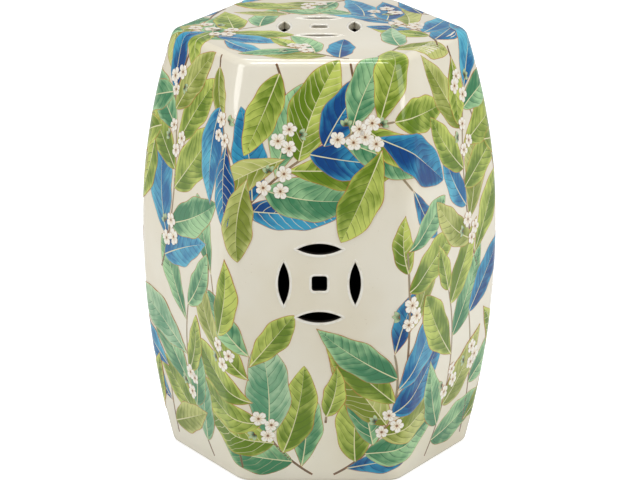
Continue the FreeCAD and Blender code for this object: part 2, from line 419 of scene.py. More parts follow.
def spread_grid(shape: bmesh.types.BMesh, columns: Array, rows: Array, place: Place) -> None:
    """Add a grid whose lines run at given places and lay it on a surface.

    Args:
        shape: The bmesh that gets the grid.
        columns: The value of each line from left to right.
        rows: The value of each line from bottom to top.
        place: Gives points for arrays of column and row values.
    """
    made = bmesh.ops.create_grid(
        shape, x_segments=len(columns) - 1, y_segments=len(rows) - 1, size=1.0
    )
    flat = np.array([vertex.co for vertex in made["verts"]])
    across = np.interp(flat[:, 0], np.linspace(-1, 1, len(columns)), columns)
    up = np.interp(flat[:, 1], np.linspace(-1, 1, len(rows)), rows)
    for vertex, point in zip(made["verts"], place(across, up)):
        vertex.co = point


def graded(*stretches: tuple[float, float, float]) -> Array:
    """Lines along a slab, each stretch with its own spacing.

    Args:
        stretches: For each, where it starts, where it ends and the spacing.

    Returns:
        The places of the lines in order.
    """
    lines: list[float] = []
    for start, end, spacing in stretches:
        count = max(1, round((end - start) / spacing))
        lines.extend(np.linspace(start, end, count + 1)[:-1])
    return np.array(lines + [stretches[-1][1]])


def gathered(items: bpy.types.bpy_prop_collection, name: str, width: int) -> Array:
    """One property of all the items of a mesh.

    Args:
        items: The vertices, faces or corners.
        name: The property's name.
        width: How many numbers each item has, or 0 for a single whole number.

    Returns:
        The numbers, one row for each item.
    """
    values = np.empty(len(items) * (width or 1), dtype=float if width else np.int32)
    items.foreach_get(name, values)
    return values.reshape(-1, width) if width else values


def skin_normals(mesh: bpy.types.Mesh, reach: float) -> None:
    """Shade the faces on the outer skin by the true form, so that joints don't show.

    Args:
        mesh: The mesh, whose other faces keep their own shading.
        reach: How near the skin a face lies to count as outer.
    """
    facing = gathered(mesh.polygons, "normal", 3)
    totals = gathered(mesh.polygons, "loop_total", 0)
    corner = gathered(mesh.loops, "vertex_index", 0)
    depths, outward = FORM.feel(gathered(mesh.vertices, "co", 3))
    near = np.abs(depths) < reach
    face_of = np.repeat(np.arange(len(totals)), totals)
    agree = np.einsum("ij,ij->i", outward[corner], facing[face_of]) > FACING_SHARE
    chosen = np.where((near[corner] & agree)[:, None], outward[corner], 0.0)
    mesh.shade_smooth()
    mesh.set_sharp_from_angle(angle=SHARP_ANGLE)
    mesh.normals_split_custom_set(chosen.tolist())


def pierced(mesh: bpy.types.Mesh, panel: Panel) -> bpy.types.Mesh:
    """Cut the coin motif through a slab.

    Args:
        mesh: The slab's mesh.
        panel: Where the motif goes.

    Returns:
        The pierced mesh.
    """
    tool = bmesh.new()
    reach = 0.05
    for outline in MOTIF.outlines():
        ring = [tool.verts.new(point + Vector((0, 0, -reach))) for point in outline]
        face = tool.faces.new(ring)
        raised = bmesh.ops.extrude_face_region(tool, geom=[face])["geom"]
        moved = [item for item in raised if isinstance(item, bmesh.types.BMVert)]
        bmesh.ops.translate(tool, verts=moved, vec=(0, 0, 2 * reach))
    bmesh.ops.recalc_face_normals(tool, faces=tool.faces)
    outward = 0.0 if panel is Panel.SEAT else FORM.belly_apothem
    matrix = panel.value @ Matrix.Translation((0, 0, outward))
    bmesh.ops.transform(tool, verts=tool.verts, matrix=matrix)
    cutter = linked("piercing_tool", mesh_of(tool, "piercing_tool"))
    slab = linked("slab_blank", mesh)
    cut = slab.modifiers.new("piercing", "BOOLEAN")
    cut.operation = "DIFFERENCE"
    cut.solver = "EXACT"
    cut.object = cutter
    bpy.context.view_layer.update()
    result = evaluated(slab)
    bpy.data.objects.remove(slab)
    bpy.data.objects.remove(cutter)
    return result


@dataclass
class WallSlab:
    """One bowed wall slab with mitred sides."""

    name: str
    side: int
    panel: Panel | None = None
    coarse: float = 0.0028
    fine: float = 0.0014
    foot_spacing: float = 0.0007
    half_width: float = 0.0937
    motif_reach: float = 0.047

    def edge_share(self, z: Array) -> Array:
        """Half the slab's width on the outer skin.

        Args:
            z: Heights.

        Returns:
            The half-width at each height.
        """
        direction = np.array([math.sin(SIDE_TURN / 2), -math.cos(SIDE_TURN / 2), 0.0])
        start = np.stack([np.zeros_like(z), np.zeros_like(z), z], axis=-1)
        found = FORM.shoot(start, np.broadcast_to(direction, start.shape))
        return found[:, 0]

    def outer(self, across: Array, z: Array) -> Array:
        """Points on the outer skin of the front slab.

        Args:
            across: Places from one mitre, -1, to the other, 1.
            z: Heights.

        Returns:
            The points.
        """
        start = np.stack([across * self.edge_share(z), np.zeros_like(z), z], axis=-1)
        return FORM.shoot(start, np.broadcast_to([0.0, -1.0, 0.0], start.shape))

    def inner(self, across: Array, z: Array) -> Array:
        """Points on the inner face of the front slab.

        Args:
            across: Places from one mitre, -1, to the other, 1.
            z: Heights.

        Returns:
            The points.
        """
        apothem = FORM.apothem(z, FORM.wall)
        half = apothem * math.tan(SIDE_TURN / 2)
        return np.stack([across * half, -apothem, z], axis=-1)

    def build(self) -> bpy.types.Mesh:
        """Model the slab and turn it to its side of the stool.

        Returns:
            The slab's mesh in its place.
        """
        height = FORM.joint_height
        coarse, fine = self.coarse / self.half_width, self.fine / self.half_width
        foot = (0, FORM.foot_edge, self.foot_spacing)
        if self.panel is None:
            columns = graded((-1, 1, coarse))
            rows = graded(foot, (FORM.foot_edge, height, self.coarse))
        else:
            reach = self.motif_reach / self.half_width
            columns = graded((-1, -reach, coarse), (-reach, reach, fine), (reach, 1, coarse))
            low = MOTIF.front_height - self.motif_reach
            high = MOTIF.front_height + self.motif_reach
            rows = graded(
                foot,
                (FORM.foot_edge, low, self.coarse),
                (low, high, self.fine),
                (high, height, self.coarse),
            )
        slab = bmesh.new()
        spread_grid(slab, columns, rows, self.outer)
        spread_grid(slab, columns, rows, self.inner)
        rims = [edge for edge in slab.edges if edge.is_boundary]
        bmesh.ops.bridge_loops(slab, edges=rims)
        bmesh.ops.recalc_face_normals(slab, faces=slab.faces)
        mesh = mesh_of(slab, self.name)
        mesh.transform(Matrix.Rotation(self.side * SIDE_TURN, 4, "Z"))
        return mesh if self.panel is None else pierced(mesh, self.panel)


@dataclass
class SeatSlab:
    """The crowned seat slab with its rounded shoulder."""

    name: str = "seat_slab"
    around: int = 480
    focus_apothem: float = 0.124
    focus_arris: float = 0.016
    focus_limit: float = 0.2
    first_ring: float = 0.04
    ring_spacing: float = 0.0016
    fan_steps: int = 30
    # Below this depth the tunnel walls take the near-black clay, painted shade down the piercings.
    glazed_depth: float = 0.0085

    def focus(self, angle: Array) -> Array:
        """Plan distance of the ring from which the shoulder is shot.

        Args:
            angle: Angles round the upright axis.

        Returns:
            The distance at each angle.
        """
        flat = self.focus_apothem - self.focus_arris
        return last_inside(
            lambda far: hexagon(far * np.cos(angle), far * np.sin(angle), flat) < self.focus_arris,
            np.full_like(angle, self.focus_limit),
            rounds=40,
        )

    def place(self, angle: Array, ring: Array) -> Array:
        """Points of the top and of the shoulder.

        Args:
            angle: Angles round the upright axis.
            ring: From 0 in the middle to 1 at the shoulder, and on to 2 at the joint.

        Returns:
            The points.
        """
        focus = self.focus(angle)
        plan = focus * np.minimum(ring, 1)
        tilt = (1 - np.clip(ring - 1, 0, 1)) * math.pi / 2
        start = np.stack(
            [plan * np.cos(angle), plan * np.sin(angle), np.full_like(ring, FORM.joint_height)],
            axis=-1,
        )
        direction = np.stack(
            [np.cos(tilt) * np.cos(angle), np.cos(tilt) * np.sin(angle), np.sin(tilt)], axis=-1
        )
        return FORM.shoot(start, direction)

    def build(self) -> bpy.types.Mesh:
        """Model the slab and pierce it.

        Returns:
            The slab's mesh.
        """
        seat = bmesh.new()
        angles = np.linspace(0, 2 * math.pi, self.around + 1)
        steps = round(self.focus_apothem / self.ring_spacing)
        rings = np.concatenate(
            [
                np.linspace(self.first_ring, 1, steps + 1),
                np.linspace(1, 2, self.fan_steps + 1)[1:],
            ]
        )
        spread_grid(seat, angles, rings, self.place)
        bmesh.ops.remove_doubles(seat, verts=seat.verts, dist=1e-6)
        bmesh.ops.holes_fill(seat, edges=[e for e in seat.edges if e.is_boundary], sides=0)
        bmesh.ops.recalc_face_normals(seat, faces=seat.faces)
        cut = bmesh.new()
        cut.from_mesh(pierced(mesh_of(seat, self.name), Panel.SEAT))
        # Split the tunnels where the glaze ends, so that their lower part takes the painted-shade
        # clay.
        edge = (0, 0, FORM.height - self.glazed_depth)
        everything = [*cut.verts, *cut.edges, *cut.faces]
        bmesh.ops.bisect_plane(cut, geom=everything, plane_co=edge, plane_no=(0, 0, 1))
        return mesh_of(cut, self.name)


@dataclass
class PiercedRims:
    """The bead of clear glaze round every piercing of one panel."""

    name: str
    panel: Panel
    bead: float = 0.0016
    outset: float = 0.0010
    sunk: float = 0.0011

    def build(self) -> bpy.types.Mesh:
        """Run one closed bead along each pierced edge and join them.

        Returns:
            The mesh of all the beads.
        """
        beads = bmesh.new()
        to_world = np.array(self.panel.value)
        for outline in MOTIF.outlines(self.outset):
            flat = np.array([[*point, 1.0] for point in outline])
            start = (flat @ to_world.T)[:, :3]
            outward = to_world[:3, 2]
            points = FORM.shoot(start, np.broadcast_to(outward, start.shape))
            points = points - outward * self.sunk
            curve = bpy.data.curves.new(self.name, "CURVE")
            curve.dimensions = "3D"
            curve.bevel_depth = self.bead
            curve.bevel_resolution = 3
            spline = curve.splines.new("POLY")
            spline.points.add(len(points) - 1)
            for spot, point in zip(spline.points, points):
                spot.co = (*point, 1)
            spline.use_cyclic_u = True
            holder = linked(self.name, curve)
            bpy.context.view_layer.update()
            tube = evaluated(holder)
            beads.from_mesh(tube)
            bpy.data.meshes.remove(tube)
            bpy.data.objects.remove(holder)
        bmesh.ops.remove_doubles(beads, verts=beads.verts, dist=1e-7)
        mesh = mesh_of(beads, self.name)
        mesh.shade_smooth()
        return mesh


Socket = bpy.types.NodeSocket
Value = Socket | float | tuple


class Finish:
    """A material being wired: short calls that add nodes and give their output."""

    def __init__(self, name: str) -> None:
        """Start an empty material with its shader and its output.

        Args:
            name: The finish's name.
        """
        self.material = bpy.data.materials.new(name)
        self.material.use_nodes = True
        self.tree = self.material.node_tree
        self.shader = self.tree.nodes["Principled BSDF"]
        self.place = self.tree.nodes.new("ShaderNodeTexCoord").outputs["Object"]

    def put(self, socket: Socket, value: Value) -> None:
        """Link a socket, or set it to a number or a colour.

        Args:
            socket: The input.
            value: The output to link, or the number or colour to set.
        """
        if isinstance(value, bpy.types.NodeSocket):
            self.tree.links.new(value, socket)
        elif socket.type == "RGBA" and len(value) == 3:
            socket.default_value = (*value, 1.0)
        else:
            socket.default_value = value

    def set(self, **values: Value) -> None:
        """Set sockets of the shader, named with underlines for spaces."""
        for name, value in values.items():
            self.put(self.shader.inputs[name.replace("_", " ")], value)

    def sum(self, operation: str, first: Value, second: Value = 0.0, third: Value = 0.0) -> Socket:
        """Work out one number from up to three.

        Args:
            operation: The Math node's operation.
            first: The first value.
            second: The second value.
            third: The third value.

        Returns:
            The node's output.
        """
        node = self.tree.nodes.new("ShaderNodeMath")
        node.operation = operation
        for socket, value in zip(node.inputs, (first, second, third)):
            self.put(socket, value)
        return node.outputs[0]

    def stretch(
        self, value: Socket, low: float, high: float, start: float = 0.0, end: float = 1.0
    ) -> Socket:
        """Map a number smoothly from one range into another, and hold it there.

        Args:
            value: The number.
            low: Where its range starts.
            high: Where its range ends.
            start: The result at the low end.
            end: The result at the high end.

        Returns:
            The node's output.
        """
        node = self.tree.nodes.new("ShaderNodeMapRange")
        node.interpolation_type = "SMOOTHSTEP"
        for socket, number in zip(node.inputs, (value, low, high, start, end)):
            self.put(socket, number)
        return node.outputs[0]

    def mix(self, share: Value, first: Value, second: Value) -> Socket:
        """Blend two colours.

        Args:
            share: How much of the second.
            first: The first colour.
            second: The second colour.

        Returns:
            The blended colour.
        """
        node = self.tree.nodes.new("ShaderNodeMix")
        node.data_type = "RGBA"
        self.put(node.inputs["Factor"], share)
        self.put(node.inputs["A"], first)
        self.put(node.inputs["B"], second)
        return node.outputs["Result"]

    def noise(self, scale: float, detail: float = 2.0, place: Socket | None = None) -> Socket:
        """A soft random pattern.

        Args:
            scale: How many of its patches go in a metre, roughly.
            detail: How many finer patterns lie within it.
            place: Where it is read, or else the place on the stool.

        Returns:
            The node's output.
        """
        node = self.tree.nodes.new("ShaderNodeTexNoise")
        self.put(node.inputs["Vector"], place or self.place)
        node.inputs["Scale"].default_value = scale
        node.inputs["Detail"].default_value = detail
        return node.outputs["Fac"]

    def triple(self, *numbers: Value) -> Socket:
        """A place made of three numbers.

        Args:
            numbers: The three numbers.

        Returns:
            The node's output.
        """
        node = self.tree.nodes.new("ShaderNodeCombineXYZ")
        for socket, value in zip(node.inputs, numbers):
            self.put(socket, value)
        return node.outputs[0]

    def mark(self, name: str, output: str = "Fac") -> Socket:
        """What the mesh holds at each point under a name.

        Args:
            name: The name, without the "leaf_" that all the marks start with.
            output: "Fac" for a number, or "Color" for a colour.

        Returns:
            The node's output.
        """
        node = self.tree.nodes.new("ShaderNodeAttribute")
        node.attribute_name = f"leaf_{name}"
        return node.outputs[output]

    def washed(self, share: Value) -> Socket:
        """Blend the deep wash of a painted shape into its pale wash.

        Args:
            share: How much of the pale wash.

        Returns:
            The blended colour.
        """
        return self.mix(share, self.mark("shade", "Color"), self.mark("light", "Color"))

    def bump(self, height: Socket, depth: float, strength: float = 1.0) -> None:
        """Give the surface a fine relief.

        Args:
            height: The pattern of the relief.
            depth: Its depth in metres.
            strength: How much of it shows.
        """
        node = self.tree.nodes.new("ShaderNodeBump")
        node.inputs["Strength"].default_value = strength
        node.inputs["Distance"].default_value = depth
        self.put(node.inputs["Height"], height)
        self.put(self.shader.inputs["Normal"], node.outputs["Normal"])


@dataclass(frozen=True)
class IvoryGlaze:
    """The clear glaze over the pale ground, a little thicker and yellower in places."""

    thin: Colour = linear(237, 231, 213)
    thick: Colour = linear(230, 221, 197)
    fleck: Colour = linear(203, 190, 163)

    def make(self) -> bpy.types.Material:
        """Wire the glaze.

        Returns:
            The material.
        """
        finish = Finish("ivory_glaze")
        cloud = finish.stretch(finish.noise(9.0, 3.0), 0.35, 0.7)
        ground = finish.mix(cloud, self.thin, self.thick)
        speck = finish.stretch(finish.noise(520.0, 1.0), 0.74, 0.8, 0.0, 0.5)
        finish.set(Base_Color=finish.mix(speck, ground, self.fleck))
        streak = finish.stretch(finish.noise(35.0, 2.0), 0.3, 0.7, 0.07, 0.13)
        finish.set(Roughness=streak, IOR=1.5, Coat_Weight=0.5, Coat_Roughness=0.04)
        finish.bump(finish.noise(60.0, 1.0), 0.00012)
        return finish.material


@dataclass(frozen=True)
class RimGlaze:
    """The white bead where the glaze gathers round a piercing."""

    white: Colour = linear(240, 236, 224)
    pooled: Colour = linear(226, 219, 200)

    def make(self) -> bpy.types.Material:
        """Wire the bead.

        Returns:
            The material.
        """
        finish = Finish("rim_glaze")
        pool = finish.stretch(finish.noise(160.0, 2.0), 0.45, 0.75)
        finish.set(Base_Color=finish.mix(pool, self.white, self.pooled))
        finish.set(Roughness=0.08, IOR=1.5, Coat_Weight=0.5, Coat_Roughness=0.04)
        finish.bump(finish.noise(400.0, 1.0), 0.0001)
        return finish.material


@dataclass(frozen=True)
class FiredClay:
    """Unglazed fired clay, with grog and the marks of a wiping sponge."""

    name: str
    body: Colour
    dust: Colour
    grog: Colour

    def make(self) -> bpy.types.Material:
        """Wire the clay.

        Returns:
            The material.
        """
        finish = Finish(self.name)
        wiped = finish.stretch(finish.noise(26.0, 4.0), 0.3, 0.7)
        clay = finish.mix(wiped, self.body, self.dust)
        grain = finish.noise(900.0, 2.0)
        speck = finish.stretch(grain, 0.66, 0.74, 0.0, 0.8)
        finish.set(Base_Color=finish.mix(speck, clay, self.grog))
        finish.set(Roughness=finish.stretch(finish.noise(90.0), 0.2, 0.8, 0.78, 0.95))
        finish.bump(grain, 0.0004, 0.6)
        return finish.material


class Clay(Enum):
    """The two unglazed clays of the stool: the foot's own pale clay, and a near-black one inside that
    is painted shade of the hollow.
    """

    FOOT = FiredClay("bare_clay", linear(226, 219, 203), linear(207, 197, 176), linear(150, 132, 104))
    # Painted shade: near-black clay for the inside, the coils and the deep tunnel walls, in place of
    # the shade that falls in the hollow.
    SHADED_HOLLOW = FiredClay("hollow_painted_shade_clay", linear(58, 48, 40), linear(40, 33, 28), linear(96, 80, 64))


@dataclass
class StoolBody:
    """The slabs, rims, flange and coils."""

    walls: tuple[WallSlab, ...] = (
        WallSlab("front", 0, Panel.FRONT),
        WallSlab("front_right", 1),
        WallSlab("back_right", 2),
        WallSlab("back", 3, Panel.BACK),
        WallSlab("back_left", 4),
        WallSlab("front_left", 5),
    )
    rims: tuple[PiercedRims, ...] = (
        PiercedRims("front_rims", Panel.FRONT),
        PiercedRims("back_rims", Panel.BACK),
        PiercedRims("seat_rims", Panel.SEAT),
    )
    skin_reach: float = 0.0008
    glazed_lip: float = 0.002

    def dress(self, mesh: bpy.types.Mesh) -> None:
        """Glaze the outer skin and the pierced edges, and give the bare inside a near-black clay as
        painted shade.

        Args:
            mesh: A slab in place, whose faces are sorted and shaded.
        """
        middles = gathered(mesh.polygons, "center", 3)
        on_seat = middles[:, 2] > FORM.joint_height
        # Faces deeper than the glazed lip take the near-black clay: painted shade inside the hollow
        # and down the piercings.
        bare = FORM.depth(middles) < -np.where(on_seat, SeatSlab.glazed_depth, self.glazed_lip)
        mesh.polygons.foreach_set("material_index", bare.astype(np.int32))
        skin_normals(mesh, self.skin_reach)

    def build(self) -> None:
        """Model and dress every piece of the body."""
        ivory = IvoryGlaze().make()
        # The near-black clay is painted shade for the inside of the stool.
        shaded_hollow = Clay.SHADED_HOLLOW.value.make()
        for wall in self.walls:
            mesh = wall.build()
            piece = new_piece(f"glazed_wall_{wall.name}", mesh, (ivory, shaded_hollow))
            self.dress(piece.data)
            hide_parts(f"wall_{wall.name}")
        seat = new_piece("glazed_seat", SeatSlab().build(), (ivory, shaded_hollow))
        self.dress(seat.data)
        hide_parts("seat_slab")
        rim_glaze = RimGlaze().make()
        for rims in self.rims:
            piece = new_piece(rims.name, rims.build(), (rim_glaze,))
        foot = Clay.FOOT.value.make()
        for name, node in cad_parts.items():
            if name == "foot_flange":
                self.cover(node, foot)
            # The coils inside take the near-black clay, painted shade of the hollow.
            elif "coil" in name:
                self.cover(node, shaded_hollow)

    def cover(self, node: bpy.types.Object, finish: bpy.types.Material) -> None:
        """Give a carried-over solid its finish."""
        node.data.materials.clear()
        node.data.materials.append(finish)


def walk(
    points: Array, headings: Array, step: Array, turn: Array | float = 0.0
) -> tuple[Array, Array]:
    """Take one step along the skin.

    Args:
        points: Where each walker stands, on the skin.
        headings: Unit vectors along the skin.
        step: How far each one goes.
        turn: By how much each turns to the right first.

    Returns:
        The new points and headings.
    """
    headings = veered(points, headings, turn)
    points = FORM.settle(points + headings * np.asarray(step)[..., None])
    normals = FORM.normal(points)
    level = np.sum(headings * normals, axis=-1, keepdims=True)
    return points, unit(headings - normals * level)


def veered(points: Array, headings: Array, turn: Array | float) -> Array:
    """Headings turned to the right along the skin.

    Args:
        points: Places on the skin.
        headings: Unit vectors along the skin.
        turn: By how much each turns, in radians.

    Returns:
        The new headings.
    """
    turn = np.asarray(turn)[..., None]
    right = np.cross(headings, FORM.normal(points))
    return headings * np.cos(turn) + right * np.sin(turn)


def strode(
    points: Array, headings: Array, step: Array | float, turn: Array | float, steps: int
) -> tuple[Array, Array]:
    """Take the same step again and again.

    Args:
        points: Where each walker stands, on the skin.
        headings: Unit vectors along the skin.
        step: How far each one goes in a step.
        turn: By how much each turns to the right before a step.
        steps: How many steps.

    Returns:
        The points and headings from the start to the end, one more than the steps.
    """
    path, aims = [points], [headings]
    for _ in range(steps):
        points, headings = walk(points, headings, step, turn)
        path.append(points)
        aims.append(headings)
    return np.array(path), np.array(aims)


def ring_turns(count: int) -> Array:
    """Evenly spaced turns all the way round."""
    return np.arange(count) * math.tau / count


def spokes(
    middle: Array, heading: Array, reach: Array | float, turns: Array
) -> tuple[Array, Array]:
    """Walk out from one point of the skin in several directions.

    Args:
        middle: The point.
        heading: The unit vector from which the turns count.
        reach: How far, for each direction or for all.
        turns: By how much each direction turns to the right.

    Returns:
        The points and headings at the ends.
    """
    count = len(turns)
    return walk(
        np.repeat(middle[None], count, axis=0),
        np.repeat(heading[None], count, axis=0),
        np.broadcast_to(reach, count),
        turns,
    )


class Ground(Enum):
    """Where a branch springs from."""

    WALL = "wall"
    SEAT = "seat"

    def start(self, first: float, second: float, heading: float) -> tuple[Array, Array]:
        """A point on the skin and a direction along it.

        Args:
            first: On a wall, the side with the share across it; on the seat, x in mm.
            second: On a wall, the height in mm; on the seat, y in mm.
            heading: Degrees to the right of straight up, or of straight back on the seat.

        Returns:
            The point and the unit heading.
        """
        if self is Ground.WALL:
            angle = first * SIDE_TURN
            origin = np.array([[0.0, 0.0, second * MM]])
            direction = np.array([[math.sin(angle), -math.cos(angle), 0.0]])
            upward = np.array([0.0, 0.0, 1.0])
        else:
            origin = np.array([[first * MM, second * MM, FORM.joint_height]])
            direction = np.array([[0.0, 0.0, 1.0]])
            upward = np.array([0.0, 1.0, 0.0])
        point = FORM.settle(FORM.shoot(origin, direction))[0]
        normal = FORM.normal(point)
        upward = unit(upward - normal * np.dot(upward, normal))
        right = np.cross(upward, normal)
        turn = math.radians(heading)
        return point, upward * math.cos(turn) + right * math.sin(turn)


@dataclass(frozen=True)
class Stroke:
    """A curved line of the brush along the skin."""

    start: Array
    heading: Array
    length: float
    bend: float


RIPPLES = 17
THINNEST = 0.012


class Outline(Enum):
    """Outlines of painted shapes: where widest, how blunt at the base, how wavy."""

    LANCE = (0.40, 0.74, 0.07)
    OVAL = (0.46, 0.72, 0.07)
    PADDLE = (0.57, 1.12, 0.07)
    PETAL = (0.66, 0.80, 0.0)
    BUD = (0.42, 0.52, 0.0)
    TWIG = (0.30, 0.02, 0.0)

    def share(self, along: Array, phase: float) -> Array:
        """Half-width as a share of the widest.

        Args:
            along: Places from the base, 0, to the tip, 1.
            phase: Where the ripple of the margin starts.

        Returns:
            The share at each place.
        """
        widest, blunt, wave = self.value
        taper = blunt * (1 - widest) / widest
        along = np.clip(along, 0.0, 1.0)
        rise = (np.maximum(along, 1e-6) / widest) ** blunt
        fall = (np.maximum(1 - along, 1e-6) / (1 - widest)) ** taper
        ripple = 1 + wave * np.sin(along * RIPPLES + phase) * np.sin(along * math.pi)
        return np.maximum(rise * fall * ripple, THINNEST)


class Paint(Enum):
    """Enamels of the foliage: the deep wash and the pale wash."""

    LIME = (linear(98, 128, 14), linear(200, 212, 104))
    OLIVE = (linear(122, 138, 36), linear(200, 204, 122))
    TEAL = (linear(62, 130, 88), linear(170, 212, 156))
    SEA = (linear(88, 152, 112), linear(184, 214, 172))
    BLUE = (linear(0, 66, 130), linear(56, 158, 194))
    AZURE = (linear(0, 100, 156), linear(92, 184, 208))
    CREAM = (linear(240, 226, 196), linear(248, 244, 232))
    BUD = (linear(40, 104, 74), linear(176, 204, 156))
    BARK = (linear(84, 72, 56), linear(150, 140, 112))


LEAF_BLOCK = 0.0168
TWIG_BLOCK = 0.014
BENT_TWIG_BLOCK = 0.0072
ROUGH_GRID = (9, (0.0, 0.6, 1.0))


@dataclass
class Blade:
    """One painted shape: a leaf, a petal, a bud or a twig."""

    stroke: Stroke
    half_width: float
    outline: Outline
    paint: Paint
    tone: float = 0.5
    layer: int = 0
    plain: bool = False
    bent: bool = False

    @property
    def grid(self) -> tuple[int, tuple[float, ...]]:
        """The grid of the shape, finer where it is bent over an edge.

        Returns:
            Steps along the shape, and places from its spine to its margin.
        """
        if self.outline is Outline.TWIG:
            block = BENT_TWIG_BLOCK if self.bent else TWIG_BLOCK
            return 4 * round(self.stroke.length / block) + 4, (0.0, 1.0)
        if self.plain:
            return 6, (0.0, 0.6, 1.0)
        blocks = math.ceil(self.stroke.length / LEAF_BLOCK)
        if self.bent:
            return 8 * blocks, (0.0, 0.22, 0.44, 0.66, 0.86, 1.0)
        return 4 * blocks, (0.0, 0.4, 0.8, 1.0)


def traced(blades: Sequence[Blade], steps: int, shares: Sequence[float]) -> tuple[Array, Array]:
    """Lay shapes on the skin, all with the same grid.

    Args:
        blades: The shapes.
        steps: Steps along each spine.
        shares: Places from the spine to the margin, from 0 to 1.

    Returns:
        Points by shape, row and column, and half-widths by shape and row.
    """
    points = np.array([blade.stroke.start for blade in blades])
    headings = np.array([blade.stroke.heading for blade in blades])
    step = np.array([blade.stroke.length for blade in blades]) / steps
    turn = np.array([blade.stroke.bend for blade in blades]) / steps
    middle, ahead = strode(points, headings, step, turn, steps)
    rows = np.linspace(0, 1, steps + 1)
    sideways = np.cross(ahead, FORM.normal(middle))
    halves = []
    for side in (-1, 1):
        width = np.array([b.half_width * b.outline.share(rows, b.tone * 40 + side) for b in blades]).T
        points, aim = middle, sideways * side
        columns = []
        for start, end in zip(shares[:-1], shares[1:]):
            points, aim = walk(points, aim, width * (end - start))
            columns.append(points)
        halves.append(columns)
    lattice = np.stack([*halves[0][::-1], middle, *halves[1]], axis=2)
    return lattice.transpose(1, 0, 2, 3), width.T


class Sheet:
    """A sheet of enamel that is built up shape by shape in one bmesh."""

    sunk = 0.00004
    first_lift = 0.00008
    layer_lift = 0.00006
    skin_reach = 0.0012

    def __init__(self) -> None:
        """Start an empty sheet with the marks that the enamels read."""
        self.shape = bmesh.new()
        numbers = self.shape.verts.layers.float
        self.marks = [numbers.new(name) for name in ("leaf_along", "leaf_across", "leaf_edge")]
        self.share = numbers.new("leaf_share")
        self.tone = numbers.new("leaf_tone")
        self.shade = self.shape.verts.layers.float_color.new("leaf_shade")
        self.light = self.shape.verts.layers.float_color.new("leaf_light")

    def add(self, blade: Blade, lattice: Array, widths: Array) -> None:
        """Add one shape as a thin closed layer.

        Args:
            blade: The shape.
            lattice: Its points on the skin, by row and column.
            widths: Its half-width at each row.
        """
        rows, columns = lattice.shape[:2]
        shares = blade.grid[1]
        spread = [*(-share for share in shares[:0:-1]), *shares]
        made = bmesh.ops.create_grid(self.shape, x_segments=columns - 1, y_segments=rows - 1, size=1.0)
        under = made["verts"]
        faces = list(dict.fromkeys(face for vertex in under for face in vertex.link_faces))
        raised = bmesh.ops.extrude_face_region(self.shape, geom=faces, use_keep_orig=True)["geom"]
        over = [item for item in raised if isinstance(item, bmesh.types.BMVert)]
        normals = FORM.normal(lattice)
        lift = self.first_lift + self.layer_lift * blade.layer
        length = blade.stroke.length / MM
        shade, light = ((*colour, 1.0) for colour in blade.paint.value)
        for vertices, height in ((under, -self.sunk), (over, lift)):
            placed = (lattice + normals * height).tolist()
            for vertex in vertices:
                column = round((vertex.co.x + 1) / 2 * (columns - 1))
                row = round((vertex.co.y + 1) / 2 * (rows - 1))
                along = row / (rows - 1)
                half = widths[row] / MM
                vertex.co = placed[row][column]
                values = (along * length, spread[column] * half, (1 - abs(spread[column])) * half)
                for mark, value in zip(self.marks, values):
                    vertex[mark] = value
                vertex[self.share] = along
                vertex[self.tone] = blade.tone
                vertex[self.shade] = shade
                vertex[self.light] = light
        slot = 1 if blade.outline is Outline.TWIG else 0
        for vertex in over:
            for face in vertex.link_faces:
                face.material_index = slot

    def finish(self, name: str, finishes: Sequence[bpy.types.Material]) -> None:
        """Close the sheet and put it on the stool.

        Args:
            name: The piece's name.
            finishes: Its enamels, the one of the twigs second.
        """
        bmesh.ops.recalc_face_normals(self.shape, faces=self.shape.faces)
        piece = new_piece(name, mesh_of(self.shape, name), finishes)
        skin_normals(piece.data, self.skin_reach)


@dataclass(frozen=True)
class Spray:
    """One painted branch, with all lengths in mm and all turns in degrees."""

    first: float
    second: float
    heading: float
    length: float
    bend: float
    leaves: int
    longest: float
    paints: tuple[Paint, ...]
    blossoms: tuple[float, ...] = ()
    ground: Ground = Ground.WALL

    def turned(self, side: int, mirrored: bool, shift: float) -> "Spray":
        """The same kind of branch for another side of the stool.

        Args:
            side: How many sides on, to the right.
            mirrored: Whether left and right change places.
            shift: How far up, in mm.

        Returns:
            The other branch.
        """
        way = -1 if mirrored else 1
        return replace(
            self,
            first=self.first * way + side,
            second=self.second + shift,
            heading=self.heading * way,
            bend=self.bend * way,
            paints=self.paints[::way],
        )


GREENS = (Paint.LIME, Paint.TEAL, Paint.OLIVE, Paint.LIME, Paint.SEA)
BLUES = (Paint.BLUE, Paint.LIME, Paint.AZURE, Paint.TEAL, Paint.BLUE, Paint.OLIVE)
MIXED = (Paint.LIME, Paint.BLUE, Paint.OLIVE, Paint.TEAL, Paint.AZURE, Paint.LIME)


@dataclass(frozen=True)
class Chances:
    """Ranges of what differs from shape to shape.

    How leaves turn and curl is in degrees, and the tremor and how blossoms turn and bend in radians.
    Gaps and sizes are in metres, the shift is in mm, and the others are shares of a length.
    """

    off_twig: Range = (34, 66)
    off_tip: Range = (-14, 14)
    stray: Range = (-22, 22)
    curl: Range = (-8, 34)
    tremor: Range = (-0.15, 0.15)
    leaf_length: Range = (0.90, 1.08)
    plumpness: Range = (0.172, 0.215)
    bloom_turn: Range = (-0.4, 0.4)
    bloom_gap: Range = (0.009, 0.014)
    bloom_size: Range = (0.0072, 0.0094)
    petal_length: Range = (0.92, 1.08)
    petal_bend: Range = (-0.2, 0.2)
    shift: Range = (-14, 14)


CHANCES = Chances()


